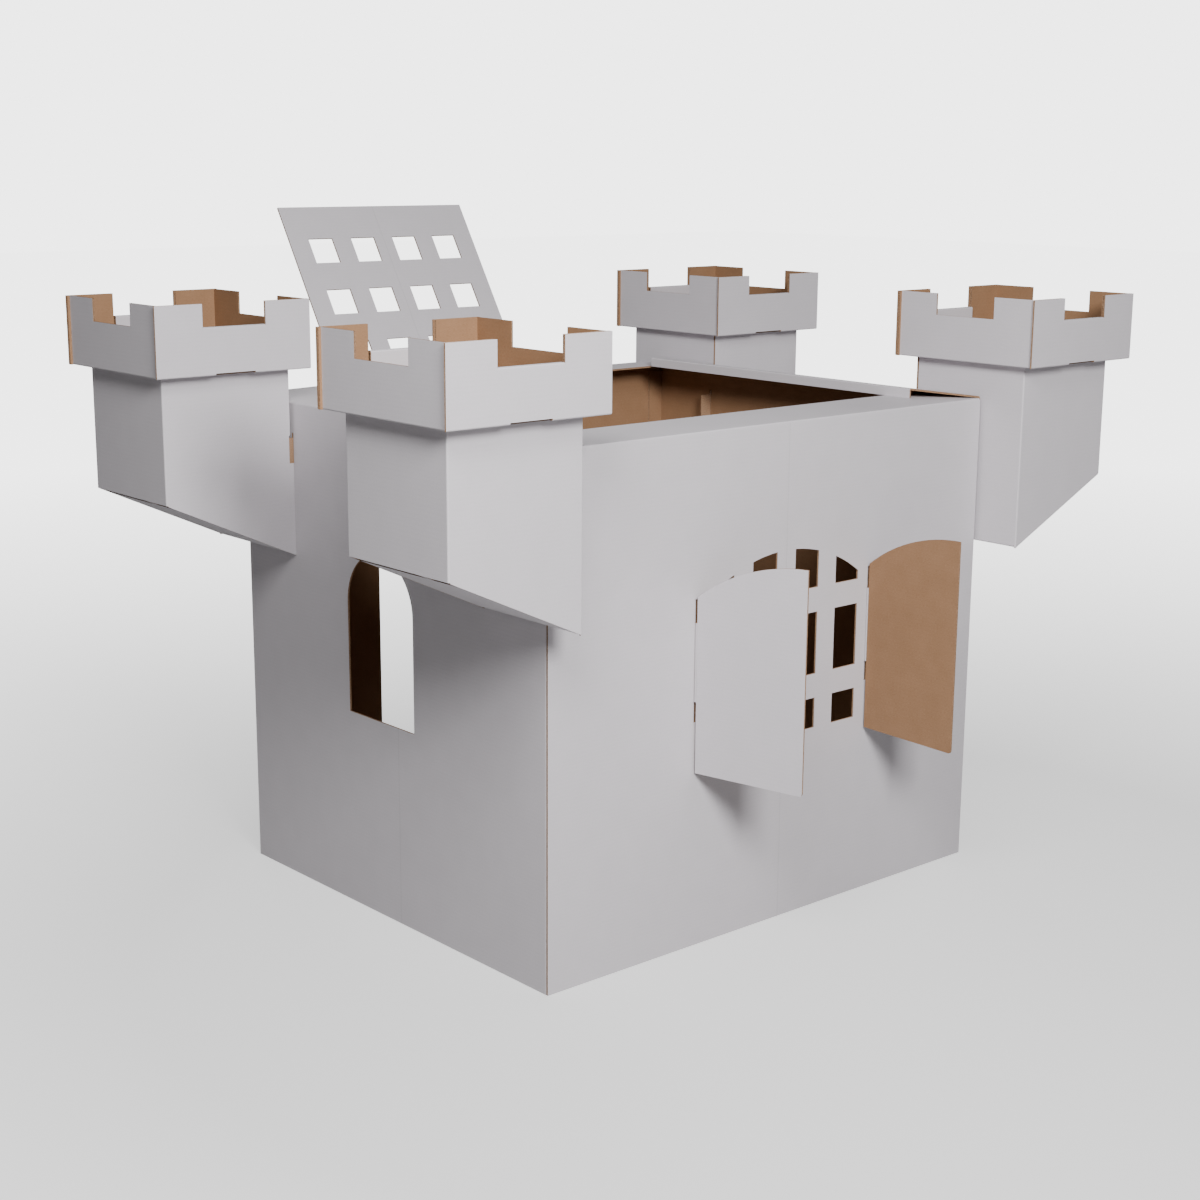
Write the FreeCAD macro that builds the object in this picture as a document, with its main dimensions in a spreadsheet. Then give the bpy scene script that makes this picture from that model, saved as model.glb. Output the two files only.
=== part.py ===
"""Play castle of white-faced corrugated card, built from folded and cut sheets.

Frame: +Z up, +X along the shutter wall, +Y from the shutter wall to the gate wall. The origin is
the middle of the shutter wall's bottom edge, halfway through the board. All lengths are in mm.

Pieces: two L-shaped wall sheets, the gate leaf, two shutters with their hinge tabs, and at each
corner a hanging turret sheet with a battlement tray on top.
"""
import FreeCAD, Part
import math
import os
import re

import Sketcher

os.makedirs("parts", exist_ok=True)
doc = FreeCAD.newDocument("cardboard_castle")

# Driving sizes
SIZES = {
    # board and fits
    "board": 3.0,
    "fold_radius": 2.5,
    "seat_gap": 0.3,
    "flap_play": 1.0,
    "cut_past": 5.0,
    # walls
    "wall_length": 940.0,
    "wall_depth": 786.0,
    "wall_height": 800.0,
    "shutter_flap": 128.0,
    "gate_flap": 72.0,
    "side_flap": 96.0,
    "side_tilt": 8.0,
    "mitre": 78.0,
    "glue_flap": 32.0,
    "glue_inset": 20.0,
    "groove_width": 2.0,
    "groove_deep": 0.6,
    "side_crease": 362.0,
    # lattice window and shutters
    "window_centre": 9.0,
    "pane_width": 53.0,
    "pane_pitch": 93.5,
    "pane_low": 302.0,
    "pane_low_top": 351.0,
    "pane_mid": 391.0,
    "pane_mid_top": 492.0,
    "pane_high": 532.0,
    "pane_crown": 600.0,
    "pane_radius": 286.0,
    "shutter_width": 190.0,
    "shutter_gap": 4.0,
    "shutter_low": 281.0,
    "shutter_crown": 619.0,
    "shutter_radius": 306.0,
    "shutter_corner": 5.0,
    "left_open_angle": 78.0,
    "right_open_angle": 87.0,
    "hinge_slot_width": 5.0,
    "hinge_slot_foot": 360.0,
    "hinge_slot_head": 550.0,
    "hinge_neck_foot": 392.0,
    "hinge_neck_head": 514.0,
    "hinge_flange": 32.0,
    # arched window in the left side wall
    "arch_centre": 407.0,
    "arch_width": 174.0,
    "arch_sill": 322.0,
    "arch_spring": 503.0,
    # gate
    "gate_width": 418.0,
    "gate_sill": 43.0,
    "gate_hinge": 613.0,
    "gate_play": 2.0,
    "gate_open_angle": 148.0,
    "light_width": 52.0,
    "light_height": 50.0,
    "light_pitch": 93.0,
    "light_rise": 105.0,
    "light_margin": 66.0,
    # turrets
    "turret_side": 226.0,
    "turret_off": 6.0,
    "turret_inward": 32.0,
    "turret_low": 556.0,
    "turret_lip": 660.0,
    "turret_top": 859.0,
    "seam_gap": 0.8,
    "chute_gap": 13.0,
    "chute_tongue": 12.0,
    "chute_tongue_at": 54.0,
    "hook_low": 705.0,
    "hook_high": 746.0,
    "hook_reach": 24.0,
    "hook_play": 8.0,
    "hook_side_play": 0.5,
    # battlement trays
    "tray_long": 273.0,
    "tray_wide": 287.0,
    "tray_high": 110.0,
    "tray_end": 4.0,
    "crenel_deep": 36.0,
    "crenel_single": 120.0,
    "crenel_hem": 111.0,
    "hem_room": 5.0,
    "lock_slot_width": 5.0,
    "lock_slot_long": 70.0,
}

sheet = doc.addObject("Spreadsheet::Sheet", "Sizes")
for row, (alias, value) in enumerate(SIZES.items(), start=1):
    sheet.set(f"A{row}", alias)
    sheet.set(f"B{row}", str(value))
    sheet.setAlias(f"B{row}", alias)
doc.recompute()

ALIAS = re.compile(r"\b(" + "|".join(SIZES) + r")\b")


def bound(text):
    """Return an expression in which each size's name points at its cell of the sheet."""
    return ALIAS.sub(r"Sizes.\1", str(text))


def number(text):
    """Return the present value of an expression."""
    return float(sheet.evalExpression(bound(text)))


# Places worked out from the sizes
FRONT = "(board / 2)"
OUTER_FRONT = "(0 - board / 2)"
OUTER_BACK = "(wall_depth - board / 2)"
SIDE = "(wall_length / 2)"
SHOULDER = "(wall_height + board)"
SEAT_END = f"({OUTER_BACK} - board - seat_gap)"
PIVOT_Y = f"({OUTER_FRONT} - seat_gap - board / 2)"
HINGE_REACH = "(shutter_width + shutter_gap / 2)"

NEAR = 0.001
PLANES = {"XY": ("XY_Plane", 1), "XZ": ("XZ_Plane", -1), "YZ": ("YZ_Plane", 1)}


class Arc:
    """A corner-to-corner arc about a centre; it stands between two corners of an outline."""

    def __init__(self, across, up):
        self.across = across
        self.up = up


def rectangle(low_a, high_a, low_b, high_b):
    """Return the outline of a rectangle from its limits in the sketch's two directions."""
    return [(low_a, low_b), (high_a, low_b), (high_a, high_b), (low_a, high_b)]


def new_body(label):
    """Return an empty body whose label names its file."""
    body = doc.addObject("PartDesign::Body", label)
    body.Label = label
    return body


def pin_point(sketch, geometry, end, across, up):
    """Hold one point of a sketch at two expressions measured from the sketch's origin."""
    for kind, text in (("DistanceX", across), ("DistanceY", up)):
        index = sketch.addConstraint(
            Sketcher.Constraint(kind, -1, 1, geometry, end, number(text)))
        sketch.setExpression(f"Constraints[{index}]", bound(text))


def draw_outline(sketch, outline):
    """Draw one closed outline of straight edges and arcs, and pin its corners."""
    corners = []
    arcs = {}
    for item in outline:
        if isinstance(item, Arc):
            arcs[len(corners) - 1] = item
        else:
            corners.append(item)
    places = [FreeCAD.Vector(number(a), number(b), 0) for a, b in corners]
    ends = []
    for index, start in enumerate(places):
        finish = places[(index + 1) % len(places)]
        if index not in arcs:
            ends.append((sketch.addGeometry(Part.LineSegment(start, finish), False), 1, 2))
            continue
        centre = FreeCAD.Vector(number(arcs[index].across), number(arcs[index].up), 0)
        radius = (start - centre).Length
        angles = [math.atan2(p.y - centre.y, p.x - centre.x) for p in (start, finish)]
        turns_left = (angles[1] - angles[0]) % (2 * math.pi) < math.pi + 1e-6
        low, high = angles if turns_left else angles[::-1]
        circle = Part.Circle(centre, FreeCAD.Vector(0, 0, 1), radius)
        edge = sketch.addGeometry(Part.ArcOfCircle(circle, low, high), False)
        ends.append((edge, 1, 2) if turns_left else (edge, 2, 1))
    for index, (edge, _, finish_end) in enumerate(ends):
        following, start_end, _ = ends[(index + 1) % len(ends)]
        sketch.addConstraint(
            Sketcher.Constraint("Coincident", edge, finish_end, following, start_end))
    for index, (edge, start_end, _) in enumerate(ends):
        pin_point(sketch, edge, start_end, *corners[index])
    for index, arc in arcs.items():
        height = sketch.addConstraint(
            Sketcher.Constraint("DistanceY", -1, 1, ends[index][0], 3, number(arc.up)))
        sketch.setExpression(f"Constraints[{height}]", bound(arc.up))


def slab(body, name, plane, low, high, outlines, cut=False):
    """Add, or cut away, outlines between two heights along a plane's normal axis.

    The XZ plane's own normal points along -Y. A pad runs along the normal and a pocket against
    it, which settles at which of the two heights the sketch lies.
    """
    role, sense = PLANES[plane]
    sketch = body.newObject("Sketcher::SketchObject", f"{body.Label}_{name}_sketch")
    origin_plane = next(f for f in body.Origin.OriginFeatures if f.Role == role)
    sketch.AttachmentSupport = [(origin_plane, "")]
    sketch.MapMode = "FlatFace"
    starts_low = (sense > 0) != cut
    start = low if starts_low else high
    sketch.setExpression("AttachmentOffset.Base.z", bound(f"{sense} * ({start})"))
    for outline in outlines:
        draw_outline(sketch, outline)
    kind = "PartDesign::Pocket" if cut else "PartDesign::Pad"
    feature = body.newObject(kind, f"{body.Label}_{name}")
    feature.Profile = sketch
    feature.setExpression("Length", bound(f"({high}) - ({low})"))
    before = body.Shape.Volume if body.Shape.Solids else 0.0
    doc.recompute()
    change = feature.Shape.Volume - before
    if (change >= 0) if cut else (change <= 0):
        raise RuntimeError(f"{body.Label}: {name} changed the volume by {change:.1f}")
    return feature


def round_edges(body, name, edges, radius):
    """Round some edges of a body's latest shape."""
    base = body.Tip
    fillet = body.newObject("PartDesign::Fillet", f"{body.Label}_{name}")
    fillet.Base = (base, edges)
    fillet.setExpression("Radius", bound(radius))
    doc.recompute()


def fold_edges(body, name, places):
    """Round the outer side of upright folds, each found by its plan position."""
    wanted = [(number(a), number(b)) for a, b in places]
    edges = []
    for index, edge in enumerate(body.Tip.Shape.Edges, start=1):
        first, last = edge.Vertexes[0].Point, edge.Vertexes[-1].Point
        if math.hypot(first.x - last.x, first.y - last.y) > NEAR:
            continue
        if any(math.hypot(first.x - a, first.y - b) < NEAR for a, b in wanted):
            edges.append(f"Edge{index}")
    round_edges(body, name, edges, "fold_radius")


def place(body, x, y, z, turn="0", axis=(0, 0, 1)):
    """Place a body by expressions, turned about an axis by an angle in degrees."""
    body.Placement = FreeCAD.Placement(
        FreeCAD.Vector(), FreeCAD.Rotation(FreeCAD.Vector(*axis), max(abs(number(turn)), 1.0)))
    body.setExpression("Placement.Base.x", bound(x))
    body.setExpression("Placement.Base.y", bound(y))
    body.setExpression("Placement.Base.z", bound(z))
    body.setExpression("Placement.Rotation.Angle", bound(turn))


# Wall sheets
def wall_sheet(label, top_flap):
    """Return an L-shaped sheet: a long panel, a side panel and a glue flap, with top flaps.

    It is drawn as the shutter wall's sheet. The gate wall's sheet is the same, turned half round.
    """
    body = new_body(label)
    slab(body, "long_panel", "XY", "0", "wall_height",
         [rectangle(f"0 - {SIDE}", SIDE, OUTER_FRONT, FRONT)])
    slab(body, "side_panel", "XY", "0", SHOULDER,
         [rectangle(f"{SIDE} - board", SIDE, OUTER_FRONT, SEAT_END)])
    slab(body, "glue_flap", "XY", "glue_inset", "wall_height - glue_inset",
         [rectangle(f"{SIDE} - board - glue_flap", SIDE, f"{SEAT_END} - board", SEAT_END)])
    fold_edges(body, "corner_fold", [(SIDE, OUTER_FRONT), (SIDE, SEAT_END)])
    slab(body, "top_flap", "XY", "wall_height - board", "wall_height",
         [rectangle(f"0 - {SIDE} + board + flap_play", f"{SIDE} - board - flap_play",
                    OUTER_FRONT, f"{OUTER_FRONT} + {top_flap}")])
    rise = "side_flap * tan(side_tilt)"
    inner_rise = "(side_flap - board) * tan(side_tilt)"
    slab(body, "side_flap", "XZ", OUTER_FRONT, SEAT_END, [[
        (SIDE, SHOULDER),
        (f"{SIDE} - side_flap", f"{SHOULDER} + {rise}"),
        (f"{SIDE} - side_flap", "wall_height"),
        (f"{SIDE} - side_flap + board", "wall_height"),
        (f"{SIDE} - side_flap + board", f"{SHOULDER} - board + {inner_rise}"),
        (SIDE, f"{SHOULDER} - board"),
    ]])
    slab(body, "mitres", "XY", f"{SHOULDER} - board", f"{SHOULDER} + {rise} + cut_past", [
        [(f"{SIDE} - board", f"{OUTER_FRONT}"),
         (f"{SIDE} - side_flap - cut_past", f"{OUTER_FRONT} + mitre"),
         (f"{SIDE} - side_flap - cut_past", f"{OUTER_FRONT} - cut_past"),
         (f"{SIDE} - board", f"{OUTER_FRONT} - cut_past")],
        [(f"{SIDE} - board", SEAT_END),
         (f"{SIDE} - board", f"{SEAT_END} + cut_past"),
         (f"{SIDE} - side_flap - cut_past", f"{SEAT_END} + cut_past"),
         (f"{SIDE} - side_flap - cut_past", f"{SEAT_END} - mitre")],
    ], cut=True)
    return body


def hook_slots(body):
    """Cut the slots that take the two turrets' hooks through the side panel."""
    middles = (f"{OUTER_FRONT} + turret_inward + turret_side / 2 - board / 2",
               f"{OUTER_BACK} - turret_inward - turret_side / 2 + board / 2")
    slots = [rectangle(f"{middle} - board / 2 - hook_side_play",
                       f"{middle} + board / 2 + hook_side_play",
                       "hook_low", "hook_high + hook_play") for middle in middles]
    slab(body, "hook_slots", "YZ", f"{SIDE} - board - cut_past", f"{SIDE} + cut_past",
         slots, cut=True)


def side_crease_line(body, centre):
    """Press the carrying crease into the side panel's outer face, full height."""
    slab(body, "side_crease", "XY", "0", "wall_height", [
        [(f"{SIDE} + cut_past", f"{centre} - groove_width / 2"),
         (f"{SIDE} + cut_past", f"{centre} + groove_width / 2"),
         (SIDE, f"{centre} + groove_width / 2"),
         (f"{SIDE} - groove_deep", centre),
         (SIDE, f"{centre} - groove_width / 2")]], cut=True)


def crease(body, centre):
    """Press the carrying crease into the long panel's outer face, full height."""
    slab(body, "long_crease", "XY", "0", "wall_height", [
        [(f"{centre} - groove_width / 2", f"{OUTER_FRONT} - cut_past"),
         (f"{centre} + groove_width / 2", f"{OUTER_FRONT} - cut_past"),
         (f"{centre} + groove_width / 2", OUTER_FRONT),
         (centre, f"{OUTER_FRONT} + groove_deep"),
         (f"{centre} - groove_width / 2", OUTER_FRONT)]], cut=True)


def window_panes():
    """Return the outlines of the lattice window's panes, arched in the top row."""
    outlines = []
    for column in range(4):
        middle = f"(window_centre + {column - 1.5} * pane_pitch)"
        left = f"({middle} - pane_width / 2)"
        right = f"({middle} + pane_width / 2)"
        outlines.append(rectangle(left, right, "pane_low", "pane_low_top"))
        outlines.append(rectangle(left, right, "pane_mid", "pane_mid_top"))
        bow = "(pane_crown - pane_radius)"
        left_top = f"{bow} + sqrt(pane_radius ^ 2 - ({left} - window_centre) ^ 2)"
        right_top = f"{bow} + sqrt(pane_radius ^ 2 - ({right} - window_centre) ^ 2)"
        outlines.append([(left, "pane_high"), (right, "pane_high"), (right, right_top),
                         Arc("window_centre", bow), (left, left_top)])
    return outlines


shutter_sheet = wall_sheet("shutter_wall_sheet", "shutter_flap")
slab(shutter_sheet, "panes", "XZ", f"{OUTER_FRONT} - cut_past", f"{FRONT} + cut_past",
     window_panes(), cut=True)
slab(shutter_sheet, "hinge_slots", "XZ", f"{OUTER_FRONT} - cut_past", f"{FRONT} + cut_past", [
    rectangle(f"window_centre + {side} * {HINGE_REACH} - hinge_slot_width / 2",
              f"window_centre + {side} * {HINGE_REACH} + hinge_slot_width / 2",
              "hinge_slot_foot", "hinge_slot_head") for side in (-1, 1)], cut=True)
hook_slots(shutter_sheet)
crease(shutter_sheet, "window_centre")

gate_sheet = wall_sheet("gate_wall_sheet", "gate_flap")
slab(gate_sheet, "gate_opening", "XZ", f"{OUTER_FRONT} - cut_past", f"{FRONT} + cut_past",
     [rectangle("0 - gate_width / 2", "gate_width / 2", "gate_sill", "gate_hinge")], cut=True)
ARCH_MIDDLE = "(wall_depth - board - arch_centre)"
slab(gate_sheet, "arched_window", "YZ", f"{SIDE} - board - cut_past", f"{SIDE} + cut_past", [[
    (f"{ARCH_MIDDLE} - arch_width / 2", "arch_sill"),
    (f"{ARCH_MIDDLE} + arch_width / 2", "arch_sill"),
    (f"{ARCH_MIDDLE} + arch_width / 2", "arch_spring"),
    Arc(ARCH_MIDDLE, "arch_spring"),
    (f"{ARCH_MIDDLE} - arch_width / 2", "arch_spring"),
]], cut=True)
hook_slots(gate_sheet)
side_crease_line(gate_sheet, "(wall_depth - board - side_crease)")
place(gate_sheet, "0", "wall_depth - board", "0", "180")


# Gate leaf, drawn shut below its hinge line
def gate_lights():
    """Return the outlines of the leaf's square lights, five rows of four."""
    outlines = []
    for row in range(5):
        base = f"(0 - gate_hinge + gate_sill + gate_play + light_margin + {row} * light_rise)"
        for column in range(4):
            middle = f"({column - 1.5} * light_pitch)"
            outlines.append(rectangle(f"{middle} - light_width / 2", f"{middle} + light_width / 2",
                                      base, f"{base} + light_height"))
    return outlines


gate_leaf = new_body("gate_leaf")
slab(gate_leaf, "panel", "XZ", "0 - board", "0", [rectangle(
    "0 - gate_width / 2 + gate_play", "gate_width / 2 - gate_play",
    "0 - gate_hinge + gate_sill + gate_play", "0 - seat_gap")])
slab(gate_leaf, "lights", "XZ", "0 - board - cut_past", "cut_past", gate_lights(), cut=True)
place(gate_leaf, "0", OUTER_BACK, "gate_hinge", "gate_open_angle", (1, 0, 0))


# Shutters and their hinge tabs
def shutter(label, side, open_angle):
    """Return a shutter leaf, drawn shut from its hinge towards the window's middle.

    side is -1 for the shutter hinged on the left and 1 for the one hinged on the right.
    """
    body = new_body(label)
    edge = f"{-side} * (board / 2 + seat_gap)"
    free = f"{-side} * shutter_width"
    bow = "(shutter_crown - shutter_radius)"
    hinge_top = f"{bow} + sqrt(shutter_radius ^ 2 - (shutter_width - board / 2 - seat_gap) ^ 2)"
    outline = [(edge, "shutter_low"), (free, "shutter_low"), (free, "shutter_crown"),
               Arc(free, bow), (edge, hinge_top)]
    slab(body, "leaf", "XZ", "0 - board / 2", "board / 2", [outline])
    corner = FreeCAD.Vector(number(free), 0, number("shutter_low"))
    edges = [f"Edge{index}" for index, border in enumerate(body.Tip.Shape.Edges, start=1)
             if border.CenterOfMass.distanceToPoint(corner) < NEAR]
    round_edges(body, "corner", edges, "shutter_corner")
    place(body, f"window_centre + {side} * {HINGE_REACH}", PIVOT_Y, "0",
          f"{side} * {open_angle}")
    return body


def hinge_tab(label, side):
    """Return a shutter's hinge tab: a round-nosed neck in the wall's slot and a flange inside."""
    body = new_body(label)
    hinge = f"(window_centre + {side} * {HINGE_REACH})"
    inner, outer = (f"{hinge} - {side} * board / 2", f"{hinge} + {side} * hinge_flange")
    low, high = (outer, inner) if side < 0 else (inner, outer)
    left, right = f"{hinge} - board / 2", f"{hinge} + board / 2"
    slab(body, "neck", "XY", "hinge_neck_foot", "hinge_neck_head", [[
        (left, f"{FRONT} + board"), (left, PIVOT_Y), Arc(hinge, PIVOT_Y), (right, PIVOT_Y),
        (right, f"{FRONT} + board")]])
    slab(body, "flange", "XZ", FRONT, f"{FRONT} + board", [rectangle(
        low, high, "hinge_slot_foot", "hinge_slot_head")])
    return body


shutter("left_shutter", -1, "left_open_angle")
shutter("right_shutter", 1, "right_open_angle")
hinge_tab("left_shutter_tab", -1)
hinge_tab("right_shutter_tab", 1)


# Turrets, drawn with x running outwards from the side wall's outer face
def turret_sheet(label, seam):
    """Return a turret sheet: four panels, an open seam, a sloped bottom flap and a hook.

    seam is 1 or -1: the side, along y, on which the seam and the hook lie.
    """
    body = new_body(label)
    near, far = "turret_off", "(turret_off + turret_side)"
    half = "(turret_side / 2)"
    slope = "((turret_lip - turret_low) / turret_side)"
    slab(body, "tube", "XY", "turret_low", "turret_top", [
        rectangle(near, far, f"0 - {half}", half),
        rectangle(f"{near} + board", f"{far} - board", f"board - {half}", f"{half} - board")])
    fold_edges(body, "folds", [(far, half), (far, f"0 - {half}"), (near, f"{-seam} * {half}")])
    wall_low, wall_high = (f"{half} - board - seam_gap", f"{half} - board")
    gap = (wall_low, wall_high) if seam > 0 else (f"0 - {wall_high}", f"0 - ({wall_low})")
    slab(body, "seam", "XY", "turret_low", "turret_top",
         [rectangle(f"{near} - cut_past", f"{near} + board", *gap)], cut=True)
    slab(body, "diagonal", "XZ", f"0 - {half} - cut_past", f"{half} + cut_past", [
        [(near, "turret_low"), (far, "turret_lip"), (f"{far} + cut_past", "turret_lip"),
         (f"{far} + cut_past", "turret_low - cut_past"), (near, "turret_low - cut_past")]],
         cut=True)
    depth = "board * sqrt(1 + ((turret_lip - turret_low) / turret_side) ^ 2)"
    end = "(turret_side - board - chute_gap)"
    slab(body, "bottom_flap", "XZ", f"board + seam_gap - {half}", f"{half} - board - seam_gap", [
        [(near, "turret_low"),
         (f"{near} + {end}", f"turret_low + {end} * {slope}"),
         (f"{near} + {end}", f"turret_low + {end} * {slope} + {depth}"),
         (near, f"turret_low + {depth}")]])
    reach = "(turret_side - board / 2)"
    slab(body, "tongue", "XZ", "chute_tongue_at - chute_tongue / 2",
         "chute_tongue_at + chute_tongue / 2", [
             [(f"{near} + {end} - board", f"turret_low + ({end} - board) * {slope}"),
              (f"{near} + {reach}", f"turret_low + {reach} * {slope}"),
              (f"{near} + {reach}", f"turret_low + {reach} * {slope} + {depth}"),
              (f"{near} + {end} - board", f"turret_low + ({end} - board) * {slope} + {depth}")]])
    drop = f"(turret_low - (turret_off - seat_gap) * {slope})"
    foot = [("seat_gap", drop), (f"{near} + board", f"turret_low + board * {slope}"),
            (f"{near} + board", "hook_low"), ("seat_gap", "hook_low")]
    hook = (f"{half} - board", half) if seam > 0 else (f"0 - {half}", f"board - {half}")
    slab(body, "seam_foot", "XZ", *hook, [foot])
    slab(body, "hook", "XZ", *hook, [
        rectangle("0 - board - hook_reach", f"{near} + board", "hook_low", "hook_high")])
    return body


def battlement_tray(label):
    """Return a battlement tray: a base, two single walls and two walls hemmed over double.

    The single walls' end flaps stand inside the hems, behind the corner merlons, and the hemmed
    walls' ends stand past the single walls. A lock slot opens each hemmed wall's bottom fold.
    """
    body = new_body(label)
    mid = "(turret_off + turret_side / 2)"
    base = "turret_top"
    top = "(turret_top + tray_high)"
    floor = "(turret_top + tray_high - crenel_deep)"
    half_x, half_y = "(tray_long / 2)", "(tray_wide / 2)"
    inner_y = f"({half_y} - board - hem_room)"
    single_x = f"({half_x} - tray_end)"
    slab(body, "base", "XY", base, f"{base} + board", [
        rectangle(f"{mid} - {single_x}", f"{mid} + {single_x}", f"0 - {half_y}", half_y)])
    for side, sign in (("outer", 1), ("inner", -1)):
        edge = f"{mid} + {sign} * {single_x}"
        limits = (f"{edge} - board", edge) if sign > 0 else (edge, f"{edge} + board")
        slab(body, f"{side}_wall", "YZ", *limits, [[
            (f"board + seam_gap - {half_y}", base),
            (f"{half_y} - board - seam_gap", base),
            (f"{half_y} - board - seam_gap", top),
            ("crenel_single / 2", top),
            ("crenel_single / 2", floor),
            ("0 - crenel_single / 2", floor),
            ("0 - crenel_single / 2", top),
            (f"board + seam_gap - {half_y}", top)]])
        for end, way in (("left", -1), ("right", 1)):
            face = f"{way} * ({half_y} - board - seam_gap)"
            back = f"{way} * ({half_y} - 2 * board - seam_gap)"
            span = (back, face) if way > 0 else (face, back)
            reach = (f"{mid} + crenel_hem / 2 + flap_play", f"{mid} + {single_x}")
            if sign < 0:
                reach = (f"{mid} - {single_x}", f"{mid} - crenel_hem / 2 - flap_play")
            slab(body, f"{side}_{end}_flap", "XZ", *span,
                 [rectangle(*reach, f"{base}", top)])
    for end, way in (("left", -1), ("right", 1)):
        outer = (f"{half_y} - board", half_y) if way > 0 else (f"0 - {half_y}", f"board - {half_y}")
        slab(body, f"{end}_hem_wall", "XZ", *outer, [[
            (f"{mid} - {half_x}", base), (f"{mid} + {half_x}", base),
            (f"{mid} + {half_x}", top), (f"{mid} + crenel_hem / 2", top),
            (f"{mid} + crenel_hem / 2", floor), (f"{mid} - crenel_hem / 2", floor),
            (f"{mid} - crenel_hem / 2", top), (f"{mid} - {half_x}", top)]])
        inside = (f"{inner_y} - board", inner_y) if way > 0 else (f"0 - {inner_y}", f"board - {inner_y}")
        hem = (inside[0], outer[1]) if way > 0 else (outer[0], inside[1])
        slab(body, f"{end}_hem", "XZ", *hem, [rectangle(
            f"{mid} - crenel_hem / 2", f"{mid} + crenel_hem / 2", f"{floor} - board", floor)])
        slab(body, f"{end}_lining", "XZ", *inside, [rectangle(
            f"{mid} - crenel_hem / 2", f"{mid} + crenel_hem / 2", f"{base}", floor)])
        slot = (f"{half_y} - board - lock_slot_width", f"{half_y} + cut_past")
        if way < 0:
            slot = (f"0 - {half_y} - cut_past", f"board + lock_slot_width - {half_y}")
        slab(body, f"{end}_lock_slot", "XY", f"{base} - cut_past", f"{base} + board", [rectangle(
            f"{mid} - lock_slot_long / 2", f"{mid} + lock_slot_long / 2", *slot)], cut=True)
    return body


CORNERS = {
    "front_left": (-1, 1, -1),
    "front_right": (1, 1, 1),
    "back_left": (-1, -1, 1),
    "back_right": (1, -1, -1),
}
for corner, (across, along, seam_side) in CORNERS.items():
    edge_y = OUTER_FRONT if along > 0 else OUTER_BACK
    middle_y = f"{edge_y} + {along} * turret_inward"
    half_turn = "180" if across < 0 else "0"
    for piece in (turret_sheet(f"{corner}_turret", seam_side),
                  battlement_tray(f"{corner}_battlement")):
        place(piece, f"{across} * {SIDE}", middle_y, "0", half_turn)

# Check every object and write one file for each piece
doc.recompute()
for item in doc.Objects:
    if {"Invalid", "Error"} & set(item.State):
        raise RuntimeError(f"{item.Label} failed: {item.State}")
for body in doc.findObjects("PartDesign::Body"):
    shape = body.Shape
    if shape.isNull() or not shape.isValid() or not shape.Solids:
        raise RuntimeError(f"{body.Label} has no valid solid")
    if len(shape.Solids) != 1:
        raise RuntimeError(f"{body.Label} has {len(shape.Solids)} solids")
    shape.exportStep(f"parts/{body.Label}.step")
    box = shape.BoundBox
    print(f"{body.Label}: {shape.Volume / 1000:.1f} cm3, x {box.XMin:.1f} {box.XMax:.1f}, "
          f"y {box.YMin:.1f} {box.YMax:.1f}, z {box.ZMin:.1f} {box.ZMax:.1f}")
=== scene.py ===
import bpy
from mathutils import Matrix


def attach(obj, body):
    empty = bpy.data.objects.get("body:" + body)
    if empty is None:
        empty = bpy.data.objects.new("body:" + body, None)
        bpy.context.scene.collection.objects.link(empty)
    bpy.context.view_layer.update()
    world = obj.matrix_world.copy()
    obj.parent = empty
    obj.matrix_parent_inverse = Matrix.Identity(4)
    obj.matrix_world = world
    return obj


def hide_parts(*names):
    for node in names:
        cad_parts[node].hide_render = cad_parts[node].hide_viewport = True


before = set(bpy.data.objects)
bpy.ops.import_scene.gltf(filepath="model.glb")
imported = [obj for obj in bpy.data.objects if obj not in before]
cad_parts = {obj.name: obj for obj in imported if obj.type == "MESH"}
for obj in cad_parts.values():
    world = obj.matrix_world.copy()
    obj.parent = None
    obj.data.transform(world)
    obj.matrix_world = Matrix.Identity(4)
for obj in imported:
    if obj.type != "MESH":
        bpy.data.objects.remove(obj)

"""Play castle of white-faced corrugated card: every sheet is built again as real board, with its
white liner outside, its kraft liner inside, rounded folds and fluted raw edges.

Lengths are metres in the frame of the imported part: +X along the shutter wall, +Y towards the gate
wall, +Z up, origin under the middle of the shutter wall's bottom edge.
"""
import logging
import math
from dataclasses import dataclass, field
from enum import Enum
from typing import Sequence

import bpy
import numpy as np
from mathutils import Matrix, Vector
from mathutils.geometry import tessellate_polygon

log = logging.getLogger("castle")
X, Y, Z = np.eye(3)
MM = 0.001
WAVE_NODE_TURN = 20
NOISE_RANGE = (0.3, 0.7)
IN_LINE = 0.05


class Face(Enum):
    """Which material slot a face of a sheet takes."""

    WHITE = 0
    KRAFT = 1
    CUT = 2


# Board
@dataclass(frozen=True)
class Board:
    """The corrugated board's own sizes."""

    thick: float = 3.0 * MM
    lip: float = 0.45 * MM
    recess: float = 1.4 * MM
    proud: float = 0.1 * MM
    web: float = 0.36 * MM
    pitch: float = 6.6 * MM
    fold_radius: float = 2.5 * MM
    fold_steps: int = 6
    wave_steps: int = 7
    least_crossing: float = 0.2
    least_edge: float = 0.4 * MM


BOARD = Board()


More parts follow.
